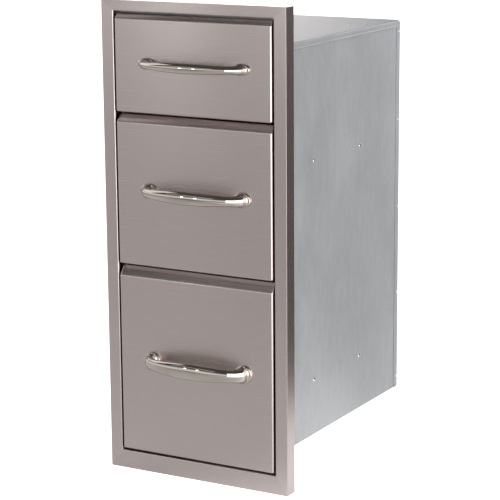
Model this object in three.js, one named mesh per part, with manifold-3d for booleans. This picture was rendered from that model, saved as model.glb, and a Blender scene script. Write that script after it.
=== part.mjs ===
// Built-in drawer unit for an outdoor kitchen: a stainless face frame on a galvanised cabinet, and
// three drawers of rising height on telescopic ball-bearing slides. Millimetres, +Z up, front towards -Y.
// Origin: middle of the cabinet's underside, which stands on the sill of the wall's cut-out.
import * as THREE from 'three';
import { mergeVertices } from 'three/addons/utils/BufferGeometryUtils.js';
import Module from 'manifold-3d';

const wasm = await Module();
wasm.setup();

// Overall sizes
const frameWidth = 360;
const frameHeight = 838;
const faceStand = 27; // face of the frame in front of the wall
const sideLap = 25; // frame over the wall, beside the cabinet
const endLap = 67; // the same, above and below the cabinet
const cabinetDepth = 464; // wall face to the back of the cabinet

// Face frame
const frameSheet = 1.2;
const sideBorder = 23;
const topBorder = 18.7;
const bottomBorder = 33.4;
const frameCorner = 1; // radius of the frame's outer corners, seen from the front
const openingCorner = 3; // radius of the drawn corners of the opening
const openingBend = 2.6; // outer bend radius of the opening's edge
const outerBend = 1.8; // outer bend radius of the frame's other edges
const wallLip = 12; // turned in behind, to lie on the wall

// Cabinet sheets
const cabinetSheet = 1;
const cabinetBend = 1.6; // bend radius on the sheet's middle line
const cabinetStep = 2; // front flanges stand this far in front of the wall's face
const flangeReach = 10; // front flange of a side panel
const flangeOverlap = 5; // top and bottom front flanges, past the frame's opening
const capFlange = 10; // top panel turned down over the sides
const backFlange = 15; // back panel turned forward over the sides
const floorFlange = 12; // bottom panel turned up inside the sides

// Drawer fronts, listed from the bottom up
const drawerNames = ['bottom', 'middle', 'top'];
const faceHeightShares = [0.4356, 0.3437, 0.2207]; // shares of the height that is left for flat faces
const bevelRises = [17, 12.5, 7.4];
const bevelDepth = 12;
const frontGap = 4.4; // bevel to whatever is above it
const bottomReveal = 3.7; // lowest front to the opening's lower edge
const sideReveal = 6.4; // front to the opening's side edge
const frontProud = 1.4; // face of a front, in front of the frame's face
const frontDepth = 21.6;
const frontSheet = 1;
const frontBend = 2.5; // outer bend radius
const frontCorner = 1.5; // radius of a front's corners, seen from the front
const frontHem = 8;
const linerSheet = 0.9;
const linerInset = 2.5;
const linerRim = 12;
const linerDish = 4;
const linerSlope = 3;

// Trays. Floors and heights are shares of the cabinet's clear height.
const traySheet = 0.9;
const trayBend = 2.2;
const trayLength = 453;
const curlRadius = 2;
const curlStart = -70; // degrees
const trayFloorShares = [0.0128, 0.4587, 0.8405];
const trayHeightShares = [0.359, 0.2963, 0.1368];
const trayBackFlange = 14;
const trayBackDrop = 6; // top of the tray's back under the rolled edges

// Slides: three nested members with two rows of balls above and two below
const slideLength = 450;
const slideSetback = 3; // front ends behind the wall's face
const slideThickness = 12.7;
const slideHeight = 45.6;
const slideSheet = 1.2;
const slideHeightShares = [0.385, 0.84, 0.52]; // slide's middle line, as a share of its tray's height
const ballRadius = 2.4;
const runGap = 0.3;
const rowDrop = 5.2; // outer row of balls to inner row
const raceFold = 1.2; // bend from race to web
const raceStarts = { outer: 20, middle: 10, inner: 205 }; // degrees round the balls, from the tray's side
const ballPitch = 32;
const ballCount = 4;
const cageSheet = 0.4;
const cageEnd = 9; // cage past its last ball
const cageGrip = 0.4; // cage into the side of a ball
const slideHoleRadius = 2.6;
const slideHoleShares = [0.22, 0.61]; // places along the slide

// Handles
const handleCentres = 184;
const handleShift = 4; // middle of the handle, to the right of the front's middle
const handlePlaceShare = 0.533; // up the flat face
const handleRise = 32;
const handleDepth = 14; // front to back, at mid-span
const handleFoot = 20; // side to side, at the collars
const handleHeights = [25.5, 20.5, 15.7]; // at mid-span
const handleShares = [ // degrees round the bow, height
  [0, 1.18],
  [7, 1.08],
  [14, 0.95],
  [24, 0.84],
  [36, 0.83],
  [60, 0.94],
  [90, 1],
];
const collarWidth = 34;
const collarHeights = [32.5, 26.5, 20];
const collarLength = 7;
const collarShares = [ // outwards, width, height
  [0, 1, 1],
  [0.3, 1, 1],
  [0.46, 0.95, 0.98],
  [0.52, 0.8, 0.95],
  [0.66, 0.68, 0.93],
  [1, 0.62, 0.93],
];

// Clearances and counts
const seatGap = 0.3; // between pieces that touch
const overrun = 5; // cutting bodies past what they cut
const weldGap = 1e-4;
const bendSteps = 3;
const cornerSteps = 3;
const raceSteps = 5;
const curlSteps = 5;
const ballSides = 6;
const ballRings = 4;
const holeSides = 12;
const handleSteps = 24;
const handleSides = 12;
const collarSides = 20;

// Finishes, as photographed
const stainless = () => new THREE.MeshStandardMaterial({ color: 0x9f9794, roughness: 0.38, metalness: 0.9 });
const galvanised = () => new THREE.MeshStandardMaterial({ color: 0xa6a9ab, roughness: 0.55, metalness: 0.7 });
const polished = () => new THREE.MeshStandardMaterial({ color: 0xd9d2c8, roughness: 0.08, metalness: 1 });
const zinc = () => new THREE.MeshStandardMaterial({ color: 0xb4b8bb, roughness: 0.35, metalness: 0.9 });
const cageSteel = () => new THREE.MeshStandardMaterial({ color: 0x8c8f92, roughness: 0.3, metalness: 1 });

const point = (x, y) => new THREE.Vector2(x, y);
const rad = THREE.MathUtils.degToRad;
const sum = (values) => values.reduce((total, value) => total + value, 0);

// Meshes and solids

function mesh(name, geometry, material) {
  const made = new THREE.Mesh(geometry, material);
  made.name = name;
  return made;
}

function toSolid(geometry) {
  const bare = geometry.clone();
  bare.deleteAttribute('normal');
  bare.deleteAttribute('uv');
  const merged = mergeVertices(bare, weldGap);
  const vertProperties = new Float32Array(merged.attributes.position.array);
  const triVerts = new Uint32Array(merged.index.array);
  return new wasm.Manifold(new wasm.Mesh({ numProp: 3, vertProperties, triVerts }));
}

function fromSolid(solid) {
  const { vertProperties, triVerts } = solid.getMesh();
  const geometry = new THREE.BufferGeometry();
  geometry.setAttribute('position', new THREE.BufferAttribute(new Float32Array(vertProperties), 3));
  geometry.setIndex(new THREE.BufferAttribute(new Uint32Array(triVerts), 1));
  geometry.computeVertexNormals();
  return geometry;
}

function joined(geometries) {
  return fromSolid(geometries.map(toSolid).reduce((all, next) => all.add(next)));
}

function cut(geometry, cutters) {
  return fromSolid(cutters.map(toSolid).reduce((rest, cutter) => rest.subtract(cutter), toSolid(geometry)));
}

// Outlines of folded sheet

function arc(x, y, radius, from, to, steps) {
  return Array.from({ length: steps + 1 }, (_, i) => {
    const angle = rad(from + ((to - from) * i) / steps);
    return point(x + radius * Math.cos(angle), y + radius * Math.sin(angle));
  });
}

// The sheet's middle line, with a bend at each inner corner.
function bent(corners, radius) {
  const line = [corners[0]];
  for (let i = 1; i < corners.length - 1; i++) {
    const before = corners[i - 1].clone().sub(corners[i]).normalize();
    const after = corners[i + 1].clone().sub(corners[i]).normalize();
    const half = Math.acos(before.dot(after)) / 2;
    const inward = before.clone().add(after).normalize();
    const centre = corners[i].clone().addScaledVector(inward, radius / Math.sin(half));
    const start = corners[i].clone().addScaledVector(before, radius / Math.tan(half)).sub(centre);
    const turn = Math.sign(before.cross(after)) * (half * 2 - Math.PI);
    for (let k = 0; k <= bendSteps; k++) {
      line.push(start.clone().rotateAround(point(0, 0), (turn * k) / bendSteps).add(centre));
    }
  }
  line.push(corners[corners.length - 1]);
  return line;
}

// The closed outline of a sheet of one thickness that follows a line.
function sheet(line, thickness) {
  const normals = line.slice(1).map((end, i) => {
    const along = end.clone().sub(line[i]).normalize();
    return point(-along.y, along.x);
  });
  const side = (distance) => line.map((at, i) => {
    const a = normals[Math.max(i - 1, 0)];
    const b = normals[Math.min(i, normals.length - 1)];
    return at.clone().addScaledVector(a.clone().add(b), distance / (1 + a.dot(b)));
  });
  return new THREE.Shape([...side(thickness / 2), ...side(-thickness / 2).reverse()]);
}

// Extrusions of an outline along one axis. Along Y the outline is drawn in X and Z, and along X in Y and Z.

function alongZ(shape, from, to) {
  return new THREE.ExtrudeGeometry(shape, { depth: to - from, bevelEnabled: false }).translate(0, 0, from);
}

function alongY(shape, from, to) {
  return new THREE.ExtrudeGeometry(shape, { depth: to - from, bevelEnabled: false })
    .rotateX(Math.PI / 2)
    .translate(0, to, 0);
}

function alongX(shape, from, to) {
  const turn = new THREE.Matrix4().makeBasis(
    new THREE.Vector3(0, 1, 0),
    new THREE.Vector3(0, 0, 1),
    new THREE.Vector3(1, 0, 0),
  );
  return new THREE.ExtrudeGeometry(shape, { depth: to - from, bevelEnabled: false })
    .applyMatrix4(turn)
    .translate(from, 0, 0);
}

// Pressed sheets, lofted through rounded rectangles that lie one behind the other

function rectangle(half, bottom, top, corner, y) {
  const centres = [
    [half - corner, top - corner, 0],
    [corner - half, top - corner, 90],
    [corner - half, bottom + corner, 180],
    [half - corner, bottom + corner, 270],
  ];
  return centres.flatMap(([x, z, from]) => arc(x, z, corner, from, from + 90, cornerSteps)
    .map((at) => new THREE.Vector3(at.x, y, at.y)));
}

function loft(rings, closed) {
  const count = rings[0].length;
  const positions = rings.flat().flatMap((at) => at.toArray());
  const faces = [];
  const links = closed ? rings.length : rings.length - 1;
  for (let k = 0; k < links; k++) {
    const [low, high] = [k * count, ((k + 1) % rings.length) * count];
    for (let i = 0; i < count; i++) {
      const j = (i + 1) % count;
      faces.push(low + i, low + j, high + j, low + i, high + j, high + i);
    }
  }
  const last = (rings.length - 1) * count;
  for (let i = 1; !closed && i < count - 1; i++) {
    faces.push(0, i + 1, i);
    faces.push(last, last + i, last + i + 1);
  }
  const geometry = new THREE.BufferGeometry();
  geometry.setAttribute('position', new THREE.Float32BufferAttribute(positions, 3));
  geometry.setIndex(signedVolume(rings, faces) < 0 ? faces.reverse() : faces);
  geometry.computeVertexNormals();
  return geometry;
}

function signedVolume(rings, faces) {
  const corners = rings.flat();
  let total = 0;
  for (let i = 0; i < faces.length; i += 3) {
    const [a, b, c] = [corners[faces[i]], corners[faces[i + 1]], corners[faces[i + 2]]];
    total += a.dot(b.clone().cross(c));
  }
  return total;
}

// Places that several pieces share
const cabinetHalf = frameWidth / 2 - sideLap;
const cabinetHeight = frameHeight - 2 * endLap;
const clearHeight = cabinetHeight - 2 * cabinetSheet;
const frameBottom = -endLap;
const frameTop = cabinetHeight + endLap;
const frameFace = -faceStand;
const openingHalf = frameWidth / 2 - sideBorder;
const openingBottom = frameBottom + bottomBorder;
const openingTop = frameTop - topBorder;
const flangeFace = -cabinetStep;
const frontHalf = openingHalf - sideReveal;
const frontFace = frameFace - frontProud;
const frontBack = frontFace + frontDepth;
const linerBack = frontBack + seatGap + linerSheet;
const trayFront = linerBack + seatGap;
const trayHalf = cabinetHalf - cabinetSheet - slideThickness - 2 * seatGap;
const flatHeight = openingTop - openingBottom - bottomReveal - sum(bevelRises) - frontGap * bevelRises.length;

// Face frame: opening edge turned back, flat border, outer return and a lip that lies on the wall.
function faceFrame() {
  const around = (offset, y, outer) => {
    const [half, low, high] = outer
      ? [frameWidth / 2, frameBottom, frameTop]
      : [openingHalf, openingBottom, openingTop];
    const corner = outer ? frameCorner : openingCorner + offset;
    return rectangle(half + offset, low - offset, high + offset, corner, y);
  };
  const bend = (radius, inner) => {
    const surface = inner ? radius - frameSheet : radius;
    return arc(radius, radius, surface, 180, 270, bendSteps);
  };
  const returnBack = flangeFace - seatGap;
  const front = [
    around(0, returnBack, false),
    ...bend(openingBend, false).map((at) => around(at.x, frameFace + at.y, false)),
    ...bend(outerBend, false).reverse().map((at) => around(-at.x, frameFace + at.y, true)),
    ...bend(outerBend, false).map((at) => around(-at.x, -at.y, true)),
    around(-wallLip, 0, true),
  ];
  const back = [
    around(frameSheet, returnBack, false),
    ...bend(openingBend, true).map((at) => around(at.x, frameFace + at.y, false)),
    ...bend(outerBend, true).reverse().map((at) => around(-at.x, frameFace + at.y, true)),
    ...bend(outerBend, true).map((at) => around(-at.x, -at.y, true)),
    around(-wallLip, -frameSheet, true),
  ];
  return mesh('face_frame', loft([...front, ...back.reverse()], true), stainless());
}

// Cabinet: side panels with a front flange, a cap turned down over them, a floor and a back.
function cabinet() {
  const group = new THREE.Group();
  const middle = cabinetSheet / 2;
  const wall = cabinetHalf - middle;
  const outside = cabinetHalf + seatGap + middle;
  const reach = cabinetHalf + flangeReach;
  const back = cabinetDepth - middle;
  const front = flangeFace + middle;
  const capTop = cabinetHeight - middle;
  const sideTop = cabinetHeight - cabinetSheet - 2 * seatGap;
  const sideBack = cabinetDepth - cabinetSheet - 2 * seatGap;

  const sidePath = bent([point(reach, front), point(wall, front), point(wall, sideBack)], cabinetBend);
  const side = alongZ(sheet(sidePath, cabinetSheet), 0, sideTop);
  const left = alongZ(sheet(sidePath.map((at) => point(-at.x, at.y)).reverse(), cabinetSheet), 0, sideTop);
  group.add(mesh('right_side_panel', side, galvanised()), mesh('left_side_panel', left, galvanised()));

  const capSides = [
    point(-outside, cabinetHeight - capFlange),
    point(-outside, capTop),
    point(outside, capTop),
    point(outside, cabinetHeight - capFlange),
  ];
  const capFront = [
    point(front, openingTop + flangeOverlap),
    point(front, capTop),
    point(back, capTop),
  ];
  const flangeEnd = cabinetDepth - backFlange - seatGap;
  const cap = joined([
    alongY(sheet(bent(capSides, cabinetBend), cabinetSheet), flangeFace + cabinetBend + middle, flangeEnd),
    alongX(sheet(bent(capFront, cabinetBend), cabinetSheet), -cabinetHalf, cabinetHalf),
    alongX(sheet([capFront[0], point(front, cabinetHeight)], cabinetSheet), -reach, reach),
  ]);
  group.add(mesh('top_panel', cap, galvanised()));

  const floorHalf = wall - cabinetSheet - seatGap;
  const floorSides = [
    point(-floorHalf, floorFlange),
    point(-floorHalf, middle),
    point(floorHalf, middle),
    point(floorHalf, floorFlange),
  ];
  const skirt = [
    point(front, openingBottom - flangeOverlap),
    point(front, middle),
    point(flangeReach, middle),
  ];
  const floor = joined([
    alongY(sheet(bent(floorSides, cabinetBend), cabinetSheet), front + cabinetBend, sideBack),
    alongX(sheet(bent(skirt, cabinetBend), cabinetSheet), cabinetBend - floorHalf, floorHalf - cabinetBend),
    alongX(sheet([skirt[0], point(front, -seatGap)], cabinetSheet), -reach, reach),
  ]);
  group.add(mesh('bottom_panel', floor, galvanised()));

  const backPath = [
    point(-outside, cabinetDepth - backFlange),
    point(-outside, back),
    point(outside, back),
    point(outside, cabinetDepth - backFlange),
  ];
  const backPlate = alongZ(sheet(bent(backPath, cabinetBend), cabinetSheet), 0, sideTop);
  group.add(mesh('back_panel', backPlate, galvanised()));
  return group;
}

// Sections of the three slide members. X runs from the cabinet wall to the tray, Y is up.
const raceRadius = ballRadius + runGap + slideSheet / 2;
const outerBall = point(raceRadius + slideSheet / 2, slideHeight / 2 - slideSheet / 2 - raceRadius);
const innerBall = point(slideThickness - runGap - slideSheet / 2 - raceRadius, outerBall.y - rowDrop);
const outerCageWeb = slideSheet + runGap + cageSheet / 2;
const middleWeb = outerCageWeb + cageSheet / 2 + runGap + slideSheet / 2;
const innerCageWeb = middleWeb + slideSheet / 2 + runGap + cageSheet / 2;

const mirrored = (line) => [...line, ...line.map((at) => point(at.x, -at.y)).reverse()];

function outerSection() {
  return mirrored(arc(outerBall.x, outerBall.y, raceRadius, raceStarts.outer, 180, raceSteps));
}

// Over the inner balls, under the outer balls and down into the web
function middleSection() {
  const between = innerBall.clone().sub(outerBall);
  const swing = Math.acos((2 * raceRadius) / between.length());
  const cross = THREE.MathUtils.radToDeg(between.angle() - swing);
  const fold = outerBall.x - middleWeb;
  return mirrored([
    ...arc(innerBall.x, innerBall.y, raceRadius, raceStarts.middle, cross - 180, raceSteps),
    ...arc(outerBall.x, outerBall.y, raceRadius, cross, 270, bendSteps),
    ...arc(outerBall.x, outerBall.y - raceRadius - fold, fold, 90, 180, bendSteps).slice(1),
  ]);
}

function innerSection() {
  const web = slideThickness - slideSheet / 2;
  return mirrored([
    ...arc(innerBall.x, innerBall.y, raceRadius, raceStarts.inner, 270, bendSteps),
    ...arc(web - raceFold, innerBall.y - raceRadius - raceFold, raceFold, 90, 0, bendSteps),
  ]);
}

// A ball cage: a thin strip beside the web, whose edges hold a row of balls above and a row below.
function cage(web, edge, ball, name) {
  const half = (ballPitch * (ballCount - 1)) / 2 + cageEnd;
  const lip = ball.y - cageSheet / 2;
  const strip = edge > web
    ? [point(edge, lip), point(web, lip), point(web, -lip), point(edge, -lip)]
    : [point(web, ball.y), point(web, -ball.y)];
  const pieces = [alongY(sheet(strip, cageSheet), -half, half)];
  for (let i = 0; i < ballCount; i++) {
    const y = (i - (ballCount - 1) / 2) * ballPitch;
    for (const z of [ball.y, -ball.y]) {
      pieces.push(new THREE.SphereGeometry(ballRadius, ballSides, ballRings).translate(ball.x, y, z));
    }
  }
  return mesh(name, joined(pieces), cageSteel());
}

function slideHole(at) {
  const drill = new THREE.CylinderGeometry(slideHoleRadius, slideHoleRadius, 2 * overrun, holeSides);
  return drill.rotateZ(Math.PI / 2).translate(0, slideLength * at, 0);
}

// One slide. Its own X runs from the wall to the tray and Y from its front end to the back.
function slide(name, side) {
  const group = new THREE.Group();
  const member = (section) => alongY(sheet(section, slideSheet), 0, slideLength);
  const holes = slideHoleShares.map((share) => slideHole(share));
  group.add(mesh(`${name}_slide_outer_${side}`, cut(member(outerSection()), holes), zinc()));
  group.add(mesh(`${name}_slide_middle_${side}`, member(middleSection()), zinc()));
  group.add(mesh(`${name}_slide_inner_${side}`, member(innerSection()), zinc()));
  const cages = new THREE.Group();
  cages.position.y = slideLength / 2;
  cages.add(cage(outerCageWeb, outerCageWeb, outerBall, `${name}_outer_cage_${side}`));
  cages.add(cage(innerCageWeb, innerBall.x - ballRadius + cageGrip, innerBall, `${name}_inner_cage_${side}`));
  group.add(cages);
  return group;
}

// Front skin: a pan whose top edge is bent back as a slope, hemmed inward behind.
function frontSkin(name, bottom, height, rise) {
  const slope = Math.atan2(rise, bevelDepth);
  const turn = Math.PI / 2 - slope;
  // Height of the top over the flat face, at a depth behind the face and a distance inside the outer surface
  const bevel = (depth, wall) => {
    const radius = frontBend - wall;
    if (depth < frontBend - radius * Math.cos(turn)) {
      return radius * Math.sin(Math.acos((frontBend - depth) / radius)) - frontBend * Math.tan(turn / 2);
    }
    return Math.min(depth * Math.tan(slope) - wall / Math.cos(slope), rise - wall);
  };
  const ring = (inset, depth, wall) => rectangle(
    frontHalf - inset,
    bottom + inset,
    bottom + height + bevel(depth, wall),
    frontCorner,
    frontFace + depth,
  );
  const bend = (wall) => arc(0, 0, frontBend - wall, 0, 90, bendSteps)
    .map((at) => ring(frontBend - at.y, frontBend - at.x, wall));
  const hem = (depth) => rectangle(
    frontHalf - frontHem,
    bottom + frontHem,
    bottom + height + rise - frontHem,
    frontCorner,
    frontFace + depth,
  );
  const rings = [
    ...bend(0),
    ring(0, bevelDepth, 0),
    ring(0, frontDepth, 0),
    hem(frontDepth),
    hem(frontDepth - frontSheet),
    ring(frontSheet, frontDepth - frontSheet, frontSheet),
    ring(frontSheet, bevelDepth + frontSheet * Math.tan(slope / 2), frontSheet),
    ...bend(frontSheet).reverse(),
  ];
  return mesh(name, loft(rings, false), stainless());
}

// Liner: closes the front from behind, with a pressed recess.
function frontLiner(name, bottom, height, rise) {
  const ring = (inset, y) => rectangle(
    frontHalf - linerInset - inset,
    bottom + linerInset + inset,
    bottom + height + rise - linerInset - inset,
    frontCorner,
    y,
  );
  const near = linerBack - linerSheet;
  const rings = [
    ring(linerRim + linerSlope, linerBack - linerDish),
    ring(linerRim, linerBack),
    ring(0, linerBack),
    ring(0, near),
    ring(linerRim, near),
    ring(linerRim + linerSlope, near - linerDish),
  ];
  return mesh(name, loft(rings, false), galvanised());
}

// Tray: floor and sides in one folded sheet with rolled top edges, and a separate back.
function tray(name, floor, height) {
  const wall = trayHalf - traySheet / 2;
  const low = floor + traySheet / 2;
  const curlTop = floor + height - traySheet / 2;
  const curl = arc(wall + curlRadius, curlTop - curlRadius, curlRadius, curlStart, 180, curlSteps);
  const start = curl.pop();
  const path = [
    ...curl,
    ...bent([start, point(wall, low), point(-wall, low), point(-start.x, start.y)], trayBend),
    ...curl.map((at) => point(-at.x, at.y)).reverse(),
  ];
  const trough = alongY(sheet(path, traySheet), trayFront, trayFront + trayLength);
  return mesh(`${name}_tray`, trough, galvanised());
}

function trayBack(name, floor, height) {
  const half = trayHalf - traySheet * 1.5 - seatGap;
  const rear = trayFront + trayLength - traySheet / 2;
  const path = [
    point(-half, rear - trayBackFlange),
    point(-half, rear),
    point(half, rear),
    point(half, rear - trayBackFlange),
  ];
  const base = floor + traySheet + seatGap + trayBend;
  const plate = alongZ(sheet(bent(path, trayBend), traySheet), base, floor + height - trayBackDrop);
  return mesh(`${name}_tray_back`, plate, galvanised());
}

// An oval that lies across a path, with its width along a direction in plan.
function oval(centre, across, width, tall, sides) {
  return Array.from({ length: sides }, (_, k) => {
    const angle = (2 * Math.PI * k) / sides;
    const at = centre.clone().addScaledVector(across, (width / 2) * Math.cos(angle));
    return new THREE.Vector3(at.x, at.y, (tall / 2) * Math.sin(angle));
  });
}

// Handle: a bow, oval in section, with a waist beside each foot. It stands on two collars.
function handle(name, tallest) {
  const stand = collarLength + seatGap;
  const [span, bow] = [handleCentres / 2, handleRise - stand];
  const heights = new THREE.SplineCurve(handleShares.map(([at, share]) => point(at, share)));
  const half = heights.getPoints(handleSteps / 2);
  const whole = [...half, ...half.slice(0, -1).map((at) => point(180 - at.x, at.y)).reverse()];
  const rings = whole.map((at) => {
    const [along, out] = [Math.cos(rad(at.x)), Math.sin(rad(at.x))];
    const across = point(-handleFoot * along, -handleDepth * out);
    const centre = point(-span * along, -stand - bow * out);
    return oval(centre, across.clone().normalize(), across.length(), tallest * at.y, handleSides);
  });
  return mesh(`${name}_handle`, loft(rings, false), polished());
}

function collar(name, side, tall) {
  const across = point(1, 0);
  const rings = collarShares.map(([along, width, height]) => (
    oval(point(0, -collarLength * along), across, collarWidth * width, tall * height, collarSides)));
  return mesh(`${name}_collar_${side}`, loft(rings, false), polished());
}

function drawer(i, bottom, height) {
  const group = new THREE.Group();
  const name = drawerNames[i];
  const floor = cabinetSheet + clearHeight * trayFloorShares[i];
  const tall = clearHeight * trayHeightShares[i];
  group.add(frontSkin(`${name}_front_skin`, bottom, height, bevelRises[i]));
  group.add(frontLiner(`${name}_front_liner`, bottom, height, bevelRises[i]));
  group.add(tray(name, floor, tall), trayBack(name, floor, tall));

  const grip = new THREE.Group();
  grip.position.set(handleShift, frontFace - seatGap, bottom + height * handlePlaceShare);
  grip.add(handle(name, handleHeights[i]));
  for (const [side, x] of [['left', -handleCentres / 2], ['right', handleCentres / 2]]) {
    const ring = collar(name, side, collarHeights[i]);
    ring.position.x = x;
    grip.add(ring);
  }
  group.add(grip);

  const wall = cabinetHalf - cabinetSheet - seatGap;
  for (const [side, x, turn] of [['left', -wall, 0], ['right', wall, Math.PI]]) {
    const runner = slide(name, side);
    runner.position.set(x, slideSetback, floor + tall * slideHeightShares[i]);
    runner.rotation.y = turn;
    group.add(runner);
  }
  return group;
}

const unit = new THREE.Group();
unit.position.y = -cabinetDepth / 2;
unit.add(faceFrame(), cabinet());
let bottom = openingBottom + bottomReveal;
drawerNames.forEach((_, i) => {
  const height = flatHeight * faceHeightShares[i];
  unit.add(drawer(i, bottom, height));
  bottom += height + bevelRises[i] + frontGap;
});

export default unit;
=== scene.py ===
import bpy
import math
from mathutils import Matrix, Vector


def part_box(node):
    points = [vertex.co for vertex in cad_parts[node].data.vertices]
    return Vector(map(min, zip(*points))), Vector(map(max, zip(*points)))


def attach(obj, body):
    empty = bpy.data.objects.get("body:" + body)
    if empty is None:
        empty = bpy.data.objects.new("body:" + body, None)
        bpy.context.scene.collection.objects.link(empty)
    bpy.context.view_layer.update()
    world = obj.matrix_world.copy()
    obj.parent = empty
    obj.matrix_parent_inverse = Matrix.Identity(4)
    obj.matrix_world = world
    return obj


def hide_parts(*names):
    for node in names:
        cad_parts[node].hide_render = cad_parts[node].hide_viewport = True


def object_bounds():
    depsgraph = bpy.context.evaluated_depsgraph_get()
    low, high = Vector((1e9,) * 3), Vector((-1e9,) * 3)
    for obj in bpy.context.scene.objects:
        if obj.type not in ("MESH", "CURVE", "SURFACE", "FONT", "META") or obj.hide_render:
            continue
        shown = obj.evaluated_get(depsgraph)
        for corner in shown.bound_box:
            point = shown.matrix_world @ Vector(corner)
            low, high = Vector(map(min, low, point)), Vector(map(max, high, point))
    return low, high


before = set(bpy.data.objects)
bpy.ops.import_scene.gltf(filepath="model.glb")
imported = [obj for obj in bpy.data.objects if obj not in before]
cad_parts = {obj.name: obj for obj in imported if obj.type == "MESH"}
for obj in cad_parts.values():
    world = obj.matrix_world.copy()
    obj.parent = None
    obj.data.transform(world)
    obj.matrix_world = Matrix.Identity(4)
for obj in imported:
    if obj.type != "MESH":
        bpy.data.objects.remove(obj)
cad_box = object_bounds()
bpy.ops.object.select_all(action="DESELECT")

# Galvanised cabinet: a folded box of zinc-coated sheet behind the frame, with a cap turned down over
# its sides, a back turned forward over them and a floor between them. The same sheet, thinner, makes
# the trays and the liners of the drawer fronts. The coat is cloudy, with roller marks and a faint spangle.


class Wire:
    """A socket of a node tree. Arithmetic on it adds Math nodes."""

    def __init__(self, tree, socket=None):
        self.tree = tree
        self.socket = socket

    def node(self, kind, settings=(), inputs=(), output=0):
        """A node with its settings, then the values or wires of its sockets."""
        made = self.tree.nodes.new("ShaderNode" + kind)
        for name, value in dict(settings).items():
            setattr(made, name, value)
        for name, value in dict(inputs).items():
            if isinstance(value, Wire):
                self.tree.links.new(value.socket, made.inputs[name])
            else:
                made.inputs[name].default_value = value
        return Wire(self.tree, made.outputs[output])

    def maths(self, operation, *values):
        return self.node("Math", {"operation": operation}, enumerate(values))

    def __add__(self, other):
        return self.maths("ADD", self, other)

    __radd__ = __add__

    def __sub__(self, other):
        return self.maths("SUBTRACT", self, other)

    def __rsub__(self, other):
        return self.maths("SUBTRACT", other, self)

    def __mul__(self, other):
        return self.maths("MULTIPLY", self, other)

    __rmul__ = __mul__

    def within(self, low, high):
        """0 below low, 1 above high, smooth between."""
        return self.node("MapRange", {"interpolation_type": "SMOOTHSTEP"}, {0: self, 1: low, 2: high})

    def noise(self, scale, detail, stretch=(1, 1, 1)):
        """Noise about 0.5 over the piece, drawn out where the stretch is small."""
        place = self.node("TexCoord", output="Object")
        place = self.node("Mapping", inputs={"Vector": place, "Scale": stretch})
        return self.node("TexNoise", inputs={"Vector": place, "Scale": scale, "Detail": detail})

    def blend(self, low, high):
        """A colour between two, by this value."""
        ends = {"Factor": self, 6: (*low, 1), 7: (*high, 1)}
        return self.node("Mix", {"data_type": "RGBA"}, ends, output=2)

    def bump(self, strength, distance):
        return self.node("Bump", inputs={"Height": self, "Strength": strength, "Distance": distance})


def finish(name, **constants):
    """A new material, with constants on its shader, and a wire to add nodes from."""
    material = bpy.data.materials.new(name)
    material.use_nodes = True
    shader = material.node_tree.nodes["Principled BSDF"]
    for socket, value in constants.items():
        shader.inputs[socket.replace("_", " ")].default_value = value
    return material, Wire(material.node_tree)


def feed(material, **wires):
    """Link wires to the sockets of a material's shader."""
    shader = material.node_tree.nodes["Principled BSDF"]
    for socket, wire in wires.items():
        material.node_tree.links.new(wire.socket, shader.inputs[socket.replace("_", " ")])


def coat(material, *nodes):
    """Give a material to carried-over solids."""
    for node in nodes:
        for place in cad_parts[node].material_slots:
            place.material = material


galvanised, wire = finish("galvanised", Metallic=0.6)
spangle_scale = 260
spangle = wire.node("TexVoronoi", {"feature": "F1"}, {"Scale": spangle_scale}, output=1)
roller = wire.noise(24, 6, stretch=(3, 3, 0.9))
cloud = wire.noise(9, 6, stretch=(1, 1, 0.6))
tone = roller * 0.3 + cloud * 0.55 + spangle * 0.15
feed(
    galvanised,
    Base_Color=tone.within(0.3, 0.7).blend((0.376, 0.384, 0.397), (0.464, 0.471, 0.484)),
    Roughness=0.42 + cloud * 0.16,
    Normal=(roller * 0.4 + spangle * 0.6).bump(0.12, 0.0003),
)
coat(galvanised, "left_side_panel", "right_side_panel", "bottom_panel", "back_panel")
drawers = ("bottom", "middle", "top")
for name in drawers:
    coat(galvanised, f"{name}_tray", f"{name}_tray_back", f"{name}_front_liner")

# Slides: three nested members of bright zinc-plated strip on each side of a tray, with balls in thin
# steel cages between them. The outer member is riveted to the cabinet and the inner one to the tray.
plated, wire = finish("zinc_plated", Metallic=0.95)
drawn = wire.noise(30, 3, stretch=(1, 0.02, 1))
feed(
    plated,
    Base_Color=drawn.within(0.3, 0.7).blend((0.46, 0.47, 0.48), (0.60, 0.61, 0.62)),
    Roughness=0.26 + drawn * 0.14,
    Normal=drawn.bump(0.1, 0.0002),
)
cage_steel, wire = finish("cage_steel", Metallic=1.0)
worn = wire.noise(60, 3)
feed(
    cage_steel,
    Base_Color=worn.within(0.3, 0.7).blend((0.30, 0.31, 0.32), (0.42, 0.43, 0.44)),
    Roughness=0.2 + worn * 0.2,
)
for name in drawers:
    for side in ("left", "right"):
        for member in ("outer", "middle", "inner"):
            coat(plated, f"{name}_slide_{member}_{side}")
        coat(cage_steel, f"{name}_outer_cage_{side}", f"{name}_inner_cage_{side}")

# Face frame: one stainless sheet, its opening edge turned back, its outer edge returned to the wall and
# lipped inwards behind, welded and dressed at the corners. The grain follows each border.
MM = 0.001
touch = 0.01 * MM
quarter = math.pi / 2


def brushed(name, grain, dark, light, drawn):
    """Brushed stainless, with its grain along one axis and its gloss drawn out upright."""
    material, wire = finish(name, Metallic=1.0, Anisotropic=drawn, Anisotropic_Rotation=0.25)
    fine = wire.noise(60, 3, stretch=grain)
    broad = wire.noise(6, 2)
    tone = fine * 0.5 + broad * 0.5
    feed(
        material,
        Base_Color=tone.within(0.2, 0.8).blend(dark, light),
        Roughness=0.26 + fine * 0.02,
        Normal=fine.bump(0.005, 0.0001),
    )
    return material


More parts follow.
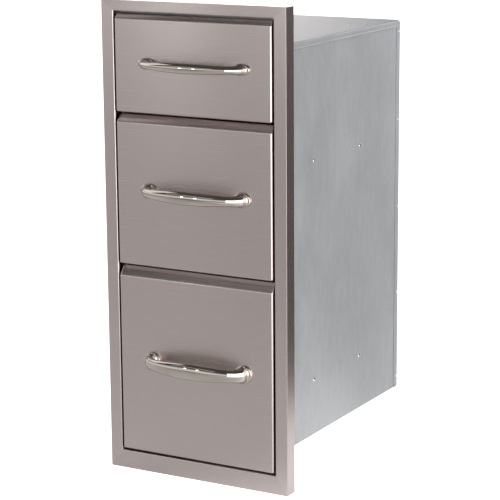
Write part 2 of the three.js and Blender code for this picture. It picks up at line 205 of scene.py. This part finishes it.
level_steel = brushed(
    "brushed_level", grain=(0.2, 30, 30), dark=(0.585, 0.515, 0.497), light=(0.61, 0.536, 0.518), drawn=0.85)
# Painted light: the upright steel's colours are a shade lighter than the level steel's, so that the frame's
# side borders don't render darker than the rest.
upright_lightened_steel = brushed(
    "brushed_upright_lightened", grain=(30, 30, 0.2), dark=(0.605, 0.534, 0.516), light=(0.63, 0.555, 0.536), drawn=0.6)


def modelled(name, body, node, material, crease=40):
    """Close the piece in hand: name it, place it in its mesh, shade it, give it its material and hang it on
    its body.
    """
    bpy.ops.object.mode_set(mode="OBJECT")
    piece = bpy.context.object
    piece.name = piece.data.name = name
    bpy.ops.object.transform_apply(location=True, rotation=True, scale=True)
    bpy.ops.object.shade_smooth_by_angle(angle=math.radians(crease))
    even = piece.modifiers.new("even", "WEIGHTED_NORMAL")
    even.keep_sharp = True
    bpy.ops.object.modifier_apply(modifier=even.name)
    piece.data.materials.append(material)
    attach(piece, body)
    if node:
        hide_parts(node)
    bpy.ops.object.select_all(action="DESELECT")
    return piece


def choose(kind, test):
    """Select in edit mode the edges or faces whose corners pass a test."""
    bpy.ops.mesh.select_mode(type=kind)
    bpy.ops.mesh.select_all(action="DESELECT")
    bpy.ops.object.mode_set(mode="OBJECT")
    mesh = bpy.context.object.data
    for item in mesh.edges if kind == "EDGE" else mesh.polygons:
        item.select = test([mesh.vertices[i].co for i in item.vertices])
    bpy.ops.object.mode_set(mode="EDIT")


def flat(corners, axis, value):
    """All corners lie at a value on an axis."""
    return all(abs(corner[axis] - value) < touch for corner in corners)


def runs_across(corners):
    """An edge whose ends differ in x."""
    return abs(corners[0].x - corners[1].x) > touch


def extrude(move=(0, 0, 0), grow=(1, 1, 1), centre=(0, 0, 0)):
    """Extrude what is selected, then move and resize the new edge or face."""
    bpy.ops.mesh.extrude_region_move(TRANSFORM_OT_translate={"value": move})
    bpy.ops.transform.resize(value=grow, center_override=centre)


def start_from(add, low, high, **settings):
    """Add a primitive of unit size, fill the box from low to high with it and open it for modelling."""
    add(**settings)
    bpy.ops.object.transform_apply(rotation=True)
    bpy.context.object.location = (low + high) / 2
    bpy.context.object.scale = [length or 1 for length in high - low]
    bpy.ops.object.transform_apply(location=True, rotation=True, scale=True)
    bpy.ops.object.mode_set(mode="EDIT")
    bpy.ops.mesh.select_all(action="SELECT")


def sheet(thickness):
    """Give the open shell in hand the thickness of its sheet, inwards, with its normals turned outwards
    first.
    """
    bpy.ops.mesh.select_all(action="SELECT")
    bpy.ops.mesh.normals_make_consistent(inside=False)
    bpy.ops.object.mode_set(mode="OBJECT")
    solid = bpy.context.object.modifiers.new("sheet", "SOLIDIFY")
    solid.thickness = thickness
    solid.offset = -1
    solid.use_even_offset = True
    bpy.ops.object.modifier_apply(modifier=solid.name)


low, high = (Vector(corner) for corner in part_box("face_frame"))
middle = (low + high) / 2
side_border, top_border, bottom_border = 23.8 * MM, 18.7 * MM, 33.4 * MM
opening_depth = 24.7 * MM
wall_lip = 12 * MM
edge_band = 1.1 * MM
outer_bend = 0.5 * MM
inner_bend, level_bend_share = 3.4 * MM, 0.3
frame_sheet = 1.2 * MM
outline_share, opening_share = 0.05, 0.92


def in_opening(corners):
    """Inside the borders, or on their inner edge."""
    return all(
        abs(c.x) < high.x - side_border + touch
        and low.z + bottom_border - touch < c.z < high.z - top_border + touch for c in corners)


def at_outline(corners):
    """On the outer edge, or on what is folded back from it."""
    return all(
        abs(c.x) > high.x - edge_band or c.z < low.z + edge_band or c.z > high.z - edge_band for c in corners)


def along_depth(corners):
    """An edge that runs straight back."""
    return not runs_across(corners) and abs(corners[0].z - corners[1].z) < touch


start_from(
    bpy.ops.mesh.primitive_grid_add, low, Vector((high.x, low.y, high.z)),
    x_subdivisions=1, y_subdivisions=1, size=1, rotation=(quarter, 0, 0))
bpy.ops.mesh.inset(thickness=side_border)
for line, end in (
        (high.z - side_border, high.z - top_border),
        (low.z + side_border, low.z + bottom_border)):
    choose("EDGE", lambda c: flat(c, 2, line) and not at_outline(c))
    bpy.ops.transform.translate(value=(0, 0, end - line))
choose("FACE", in_opening)
bpy.ops.mesh.delete(type="FACE")
choose("EDGE", in_opening)
extrude((0, opening_depth, 0))
choose("EDGE", at_outline)
extrude((0, high.y - low.y, 0))
choose("EDGE", lambda c: at_outline(c) and flat(c, 1, high.y))
extrude(grow=(1 - wall_lip / high.x, 1, 1 - wall_lip / (middle.z - low.z)), centre=middle)
choose("EDGE", lambda c: at_outline(c) and (along_depth(c) or flat(c, 1, low.y) or flat(c, 1, high.y)))
bpy.ops.mesh.bevel(offset=outer_bend, segments=5, affect="EDGES")
for level_edge, share in ((False, 1), (True, level_bend_share)):
    choose("EDGE", lambda c: in_opening(c) and (along_depth(c) or flat(c, 1, low.y))
           and runs_across(c) == level_edge)
    bpy.ops.transform.edge_bevelweight(value=share)
bpy.ops.object.mode_set(mode="OBJECT")
opening_bend = bpy.context.object.modifiers.new("opening_bend", "BEVEL")
opening_bend.width = inner_bend
opening_bend.segments = 5
opening_bend.limit_method = "WEIGHT"
bpy.ops.object.modifier_apply(modifier=opening_bend.name)
bpy.ops.object.mode_set(mode="EDIT")
sheet(frame_sheet)
welded_frame = modelled("welded_frame", "cabinet", "face_frame", level_steel)
# The side borders take the upright steel, whose colour is painted a shade lighter as painted light.
welded_frame.data.materials.append(upright_lightened_steel)
for face in welded_frame.data.polygons:
    inwards = min((high.z - face.center.z) / top_border, (face.center.z - low.z) / bottom_border)
    across = (high.x - abs(face.center.x)) / side_border
    face.material_index = int(outline_share < across < min(inwards, opening_share))

# Drawer fronts: a stainless pan each, its top edge bent back as a slope that leaves room for fingers,
# all edges folded back and hemmed. The grain runs level across the front.
hem = 8 * MM
fuller = Vector((2.6 * MM, 0, 0))
slope_rises = (17 * MM, 12.5 * MM, 8.2 * MM)
slope_depths = (12 * MM, 12 * MM, 7 * MM)
slope_bend, side_bend, top_bend = 1.9 * MM, 3.2 * MM, 1.2 * MM
front_sheet = 1 * MM
for name, rise, slope_depth in zip(drawers, slope_rises, slope_depths):
    low, high = (Vector(corner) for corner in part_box(f"{name}_front_skin"))
    low, high = low - fuller, high + fuller
    middle = (low + high) / 2
    start_from(bpy.ops.mesh.primitive_cube_add, low, high, size=1)
    bpy.ops.mesh.bisect(plane_co=(0, low.y + slope_depth, 0), plane_no=(0, 1, 0))
    choose("EDGE", lambda c: flat(c, 1, low.y) and flat(c, 2, high.z))
    bpy.ops.transform.translate(value=(0, 0, -rise))
    choose("FACE", lambda c: flat(c, 1, high.y))
    bpy.ops.mesh.delete(type="FACE")
    choose("EDGE", lambda c: flat(c, 1, high.y))
    extrude(grow=(1 - hem / high.x, 1, 1 - hem / (high.z - middle.z)), centre=middle)
    choose("EDGE", lambda c: flat(c, 1, low.y) and flat(c, 2, high.z - rise))
    bpy.ops.mesh.bevel(offset=slope_bend, segments=5, affect="EDGES")
    choose("EDGE", lambda c: flat(c, 1, low.y) and flat(c, 2, low.z)
           or not runs_across(c) and abs(c[0].x) > high.x - touch
           and not flat(c, 1, high.y) and not flat(c, 1, low.y + slope_depth))
    bpy.ops.mesh.bevel(offset=side_bend, segments=6, affect="EDGES")
    choose("EDGE", lambda c: flat(c, 1, low.y + slope_depth) and flat(c, 2, high.z))
    bpy.ops.mesh.bevel(offset=top_bend, segments=3, affect="EDGES")
    sheet(front_sheet)
    modelled(f"{name}_face", f"{name}_drawer", f"{name}_front_skin", level_steel)

# Handles: a cast bow on each front, polished bright, oval in section, with a waist beside each foot
# where it swells to meet its collar.
polished, wire = finish("polished", Metallic=1.0)
smear = wire.noise(25, 3)
feed(
    polished,
    Base_Color=smear.within(0.3, 0.7).blend((0.55, 0.495, 0.445), (0.61, 0.55, 0.495)),
    Roughness=0.02 + smear * 0.04,
)
handle_shift = 4 * MM
handle_half = 92 * MM
handle_foot = 10 * MM
handle_bow = 24.7 * MM
handle_depth = 7 * MM
handle_stand = 7.6 * MM
collar_half = 17 * MM
front_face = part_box("bottom_front_skin")[0][1]


def sections(rings, sides):
    """A closed body through upright oval sections: centre, turn in plan, half width and half height."""
    for centre, turn, wide, high in rings:
        bpy.ops.mesh.primitive_circle_add(
            vertices=sides, radius=wide, location=centre, rotation=(quarter, 0, turn))
        if bpy.context.mode == "OBJECT":
            bpy.ops.object.transform_apply(location=True, rotation=True, scale=True)
            bpy.ops.object.mode_set(mode="EDIT")
        bpy.ops.transform.resize(value=(1, 1, high / wide), center_override=centre)
    bpy.ops.mesh.select_all(action="SELECT")
    bpy.ops.mesh.bridge_edge_loops()
    bpy.ops.mesh.select_all(action="SELECT")
    bpy.ops.mesh.fill_holes(sides=0)
    bpy.ops.mesh.select_all(action="SELECT")
    bpy.ops.mesh.normals_make_consistent(inside=False)


def smooth_table(table, at):
    """A value between the rows of a table, eased through them."""
    for (a, low), (b, high) in zip(table, table[1:]):
        if at <= b:
            share = (at - a) / (b - a)
            return low + (high - low) * share * share * (3 - 2 * share)
    return table[-1][1]


# Degrees along the bow from a foot, and the share of its mean height there.
bow_heights = [(0, 1.18), (14, 0.95), (30, 0.86), (90, 1.12)]
bow_step = 3
for name in drawers:
    low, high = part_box(f"{name}_handle")
    tall = (high[2] - low[2]) / 2 / bow_heights[0][1]
    middle = (high[2] + low[2]) / 2
    rings = []
    for turn in range(0, 180 + bow_step, bow_step):
        along, out = math.cos(math.radians(turn)), math.sin(math.radians(turn))
        centre = (handle_shift - handle_half * along, front_face - handle_stand - handle_bow * out, middle)
        across = Vector((handle_foot * along, handle_depth * out))
        height = tall * smooth_table(bow_heights, min(turn, 180 - turn))
        rings.append((centre, math.atan2(across.y, across.x), across.length, height))
    sections(rings, sides=32)
    modelled(f"{name}_bow", f"{name}_drawer", f"{name}_handle", polished)

# Collars: a rosette of polished metal under each foot of a handle, drawn tight by the handle's screw.
# A step of its profile gives the millimetres out from the front, then the shares of the half width and
# of the half height there.
collar_steps = [
    (0, 0.98, 0.98), (0.8, 1, 1), (2.2, 1, 1), (3.0, 0.97, 0.975), (3.4, 0.92, 0.94), (3.6, 0.84, 0.89),
    (3.7, 0.76, 0.87), (4.0, 0.72, 0.9), (4.6, 0.68, 0.92), (5.6, 0.64, 0.93), (7.0, 0.61, 0.93),
]
for name in drawers:
    for side in ("left", "right"):
        low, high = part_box(f"{name}_collar_{side}")
        middle = [(a + b) / 2 for a, b in zip(low, high)]
        rings = [
            ((middle[0], high[1] - out * MM, middle[2]), 0, collar_half * wide, (high[2] - middle[2]) * tall)
            for out, wide, tall in collar_steps
        ]
        sections(rings, sides=40)
        modelled(
            f"{name}_rosette_{side}", f"{name}_drawer", f"{name}_collar_{side}", polished,
            crease=30)

# Rivets: zinc-plated blind rivets hold the slides to the box and to the trays, and the back's flange to
# the sides. Each head is a low dome that stands on the sheet.
rivet_steel, wire = finish("rivet_steel", Metallic=1.0)
scuffed = wire.noise(200, 2)
feed(
    rivet_steel,
    Base_Color=scuffed.blend((0.74, 0.745, 0.75), (0.84, 0.845, 0.85)),
    Roughness=0.1 + scuffed * 0.1,
)
# The share of the head's radius, and its height in millimetres.
head_steps = [(0.97, 0.35), (0.89, 0.75), (0.75, 1.1), (0.55, 1.36), (0.32, 1.5), (0.12, 1.56)]


def rivets(name, body, radius, places, turn):
    """Rivet heads at the places, turned from up to face outwards, as one piece."""
    bpy.ops.mesh.primitive_circle_add(vertices=20, radius=radius, fill_type="NGON")
    bpy.ops.object.mode_set(mode="EDIT")
    bpy.ops.mesh.select_all(action="SELECT")
    share, height = 1, 0
    for next_share, next_height in head_steps:
        extrude((0, 0, (next_height - height) * MM), (next_share / share, next_share / share, 1))
        share, height = next_share, next_height
    bpy.ops.mesh.select_all(action="SELECT")
    bpy.ops.mesh.normals_make_consistent(inside=False)
    bpy.ops.object.mode_set(mode="OBJECT")
    model = bpy.context.object
    model.rotation_euler = turn
    bpy.ops.object.transform_apply(rotation=True)
    heads = [model]
    for place in places[1:]:
        bpy.ops.object.select_all(action="DESELECT")
        model.select_set(True)
        bpy.context.view_layer.objects.active = model
        bpy.ops.object.duplicate()
        bpy.context.object.location = place
        heads.append(bpy.context.object)
    model.location = places[0]
    for head in heads:
        head.select_set(True)
    bpy.context.view_layer.objects.active = model
    bpy.ops.object.transform_apply(location=True)
    bpy.ops.object.join()
    modelled(name, body, None, rivet_steel)


slide_head, seam_head, tray_head = 3.6 * MM, 2.6 * MM, 3 * MM
box_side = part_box("right_side_panel")[1][0]
flange_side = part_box("back_panel")[1][0]
slide_fixings = [(-131, 107), (47, 107), (-131, 497.7), (47, 497.7)]
seam_line = 226.5 * MM
seam_heights = (684.5, 519.6, 354.4, 187.8, 21.1)
for side, sign in (("left", -1), ("right", 1)):
    outwards = (0, sign * quarter, 0)
    rivets(f"slide_rivets_{side}", "cabinet", slide_head, [
        (sign * box_side, y * MM, z * MM) for y, z in slide_fixings], outwards)
    rivets(f"seam_rivets_{side}", "cabinet", seam_head, [
        (sign * flange_side, seam_line, z * MM) for z in seam_heights], outwards)

tray_wall = 139.8 * MM
tray_fixings = (-180, -20, 140)
for name in drawers:
    for side, sign in (("left", -1), ("right", 1)):
        low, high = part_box(f"{name}_slide_inner_{side}")
        rivets(f"{name}_tray_rivets_{side}", f"{name}_drawer", tray_head, [
            (sign * tray_wall, y * MM, (low[2] + high[2]) / 2) for y in tray_fixings],
            (0, -sign * quarter, 0))

# Cap: the box's top, turned down over the sides with its cut edge kicked out a little, and turned up in
# front behind the frame. It is the same galvanised sheet as the box, bent on a press and held by screws.
low, high = (Vector(corner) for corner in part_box("top_panel"))
cap_half = flange_side
cap_level = 704 * MM
cap_flange, kick, kick_out = 8.6 * MM, 1.4 * MM, 1.2 * MM
cap_bend = 2.1 * MM
cap_sheet = 1 * MM
cap_front = low.y + cap_sheet
flange_end = high.y - 14.7 * MM


def at_cap_side(corners):
    """On a side of the cap, as far back as the flange of the box's back."""
    return (flat(corners, 0, cap_half) or flat(corners, 0, -cap_half)) and all(
        corner.y < flange_end + touch for corner in corners)


start_from(
    bpy.ops.mesh.primitive_grid_add,
    Vector((-cap_half, cap_front, cap_level)), Vector((cap_half, high.y, cap_level)),
    x_subdivisions=1, y_subdivisions=1, size=1)
bpy.ops.mesh.bisect(plane_co=(0, flange_end, 0), plane_no=(0, 1, 0))
choose("EDGE", at_cap_side)
extrude((0, 0, -cap_flange))
extrude((0, 0, -kick), ((cap_half + kick_out) / cap_half, 1, 1))
choose("EDGE", lambda c: flat(c, 2, cap_level) and at_cap_side(c))
bpy.ops.mesh.bevel(offset=cap_bend, segments=4, affect="EDGES")
choose("EDGE", lambda c: flat(c, 2, cap_level) and flat(c, 1, cap_front))
extrude((0, 0, high.z - cap_level))
choose("EDGE", lambda c: not runs_across(c) and flat(c, 1, cap_front)
       and max(c[0].z, c[1].z) > high.z - touch)
extrude(grow=(high.x / (cap_half - cap_bend), 1, 1))
sheet(cap_sheet)
modelled("folded_cap", "cabinet", "top_panel", galvanised)
screw_head = 3.4 * MM
screw_places = [(113.6 * MM, 105 * MM, cap_level), (133.6 * MM, 133.6 * MM, cap_level)]
rivets("cap_screws", "cabinet", screw_head, screw_places, (0, 0, 0))

# Studio: a pale floor under the frame's lower edge, soft lamps, and a camera at the photograph's angle.
# In the metal the floor glows brightest round the object, at both sides and by the frame's return, as
# painted light seen only in reflections; the ceiling is dim. A dark flag stands behind the right side,
# where the frame's return mirrors it.
floor_level = cad_box[0][2]
bpy.ops.mesh.primitive_plane_add(size=24, location=(0, 0, floor_level))
floor = bpy.context.object
floor.name = "floor"
paper_glow = 0.93
paper = bpy.data.materials.new("paper")
paper.use_nodes = True
wire = Wire(paper.node_tree)
shader = paper.node_tree.nodes["Principled BSDF"]
shader.inputs["Base Color"].default_value = (0.9, 0.9, 0.9, 1)
shader.inputs["Roughness"].default_value = 0.9
seen = wire.node("LightPath")
mirrored = wire.node("LightPath", output="Is Glossy Ray").maths(
    "MAXIMUM", wire.node("LightPath", output="Is Transmission Ray"))
spot = wire.node("TexCoord", output="Object")
picture_right = (0.871, -0.492, 0)
return_foot = (0.32, -0.04, 0)
away = wire.node("VectorMath", {"operation": "LENGTH"}, {0: spot}, output=1)
across = wire.node("VectorMath", {"operation": "DOT_PRODUCT"}, {0: spot, 1: picture_right}, output=1)
beside = wire.node("VectorMath", {"operation": "DISTANCE"}, {0: spot, 1: return_foot}, output=1)
# Painted light: the floor's glow in reflections is raised round the object, at both sides and in a patch by
# the return's foot, where the frame's bends and return mirror it.
nearness = 1.42 - away.within(0.3, 1.3) * 0.25 - away.within(1.2, 3.4) * 0.36
left_sweep = (1 - across.within(-0.6, -0.03)) * 0.45
right_sweep = across.within(0.48, 0.72) * 0.9 - across.within(-0.05, 0.4) * 0.38
foot_glow_patch = (1 - beside.within(0.15, 0.5)) * 2.2
pool = nearness + left_sweep + right_sweep + foot_glow_patch
glow = wire.node("Emission", inputs={"Color": (1, 1, 1, 1), "Strength": seen + mirrored * pool})
mixed = wire.node("MixShader", inputs={
    0: (seen + mirrored) * paper_glow, 1: Wire(paper.node_tree, shader.outputs[0]), 2: glow})
paper.node_tree.links.new(mixed.socket, paper.node_tree.nodes["Material Output"].inputs["Surface"])
paper.cycles.emission_sampling = "NONE"
floor.data.materials.append(paper)

flag_wide, flag_high, flag_turn = 1.14, 1.5, math.radians(-29.7)
bpy.ops.mesh.primitive_plane_add(
    size=1, location=(0.8, 0.015, floor_level + flag_high / 2), rotation=(quarter, 0, flag_turn))
flag = bpy.context.object
flag.name = "dark_flag"
flag.scale = (flag_wide, flag_high, 1)
black = bpy.data.materials.new("black_cloth")
black.use_nodes = True
black.node_tree.nodes["Principled BSDF"].inputs["Base Color"].default_value = (0.09, 0.075, 0.068, 1)
flag.data.materials.append(black)
flag.visible_camera = flag.visible_diffuse = flag.visible_shadow = False

world = bpy.data.worlds.new("studio")
bpy.context.scene.world = world
world.use_nodes = True
wire = Wire(world.node_tree)
height = wire.node("SeparateXYZ", inputs={0: wire.node("TexCoord")}, output=2)
ceiling = 1.0 - height.within(0.07, 0.42) * 0.92
world.node_tree.links.new(ceiling.socket, world.node_tree.nodes["Background"].inputs["Strength"])
world.node_tree.nodes["Background"].inputs["Color"].default_value = (1, 1, 1, 1)


def lamp(name, place, aim, size, radiance, colour=(1, 1, 1)):
    """A soft rectangular lamp that the camera doesn't see."""
    data = bpy.data.lights.new(name, "AREA")
    data.shape = "RECTANGLE"
    data.size, data.size_y = size
    data.energy = radiance * math.pi * size[0] * size[1]
    data.color = colour
    made = bpy.data.objects.new(name, data)
    bpy.context.collection.objects.link(made)
    towards = Vector(place) - Vector(aim)
    made.matrix_world = Matrix.Translation(place) @ towards.to_track_quat("Z", "Y").to_matrix().to_4x4()
    made.visible_camera = False


lamp("front_lamp", (0.95, -1.2, 0.5), (0, -0.25, 0.5), (1.8, 1.12), 2.5)
lamp("side_lamp", (1.25, -0.05, 0.5), (0, -0.05, 0.5), (1.0, 1.12), 2.05, (0.96, 0.985, 1))
lamp("left_lamp", (-1.29, -2.31, 0.87), (0, -0.26, 0.3), (0.08, 0.16), 12)
lamp("middle_lamp", (-0.91, -2.5, 0.87), (0, -0.26, 0.3), (0.08, 0.16), 12)
lamp("window_lamp", (-1.85, -0.5, 1.65), (-0.09, -0.28, 0.45), (1.3, 1.5), 1.0)
lamp("top_lamp", (1.1, 1.3, 2.0), (0, 0, 0.4), (1.5, 1.5), 3.0)
lamp("back_lamp", (-1.7, 1.85, 1.3), (0, 0, 0.7), (1.85, 1.8), 2.2, (1, 0.95, 0.945))
lamp("bend_lamp", (-1.35, -2.6, 2.0), (0, -0.3, 0.5), (2.2, 0.3), 0.7)

yaw, pitch, roll = (math.radians(angle) for angle in (29.4497, 12.5475, -0.4389))
back = Vector((math.sin(yaw) * math.cos(pitch), -math.cos(yaw) * math.cos(pitch), math.sin(pitch)))
aim, distance = Vector((0.10953, -0.259, 0.36016)), 3.2583
place = aim + back * distance
right = (-back).cross(Vector((0, 0, 1))).normalized()
up = right.cross(-back)
level = right * math.cos(roll) + up * math.sin(roll)
upright = up * math.cos(roll) - right * math.sin(roll)
camera = bpy.data.objects.new("camera", bpy.data.cameras.new("camera"))
bpy.context.collection.objects.link(camera)
camera.matrix_world = Matrix.Translation(place) @ Matrix((level, upright, back)).transposed().to_4x4()
camera.data.sensor_width = 36
camera.data.lens = 139.05
bpy.context.scene.camera = camera
bpy.context.scene.view_settings.view_transform = "Standard"
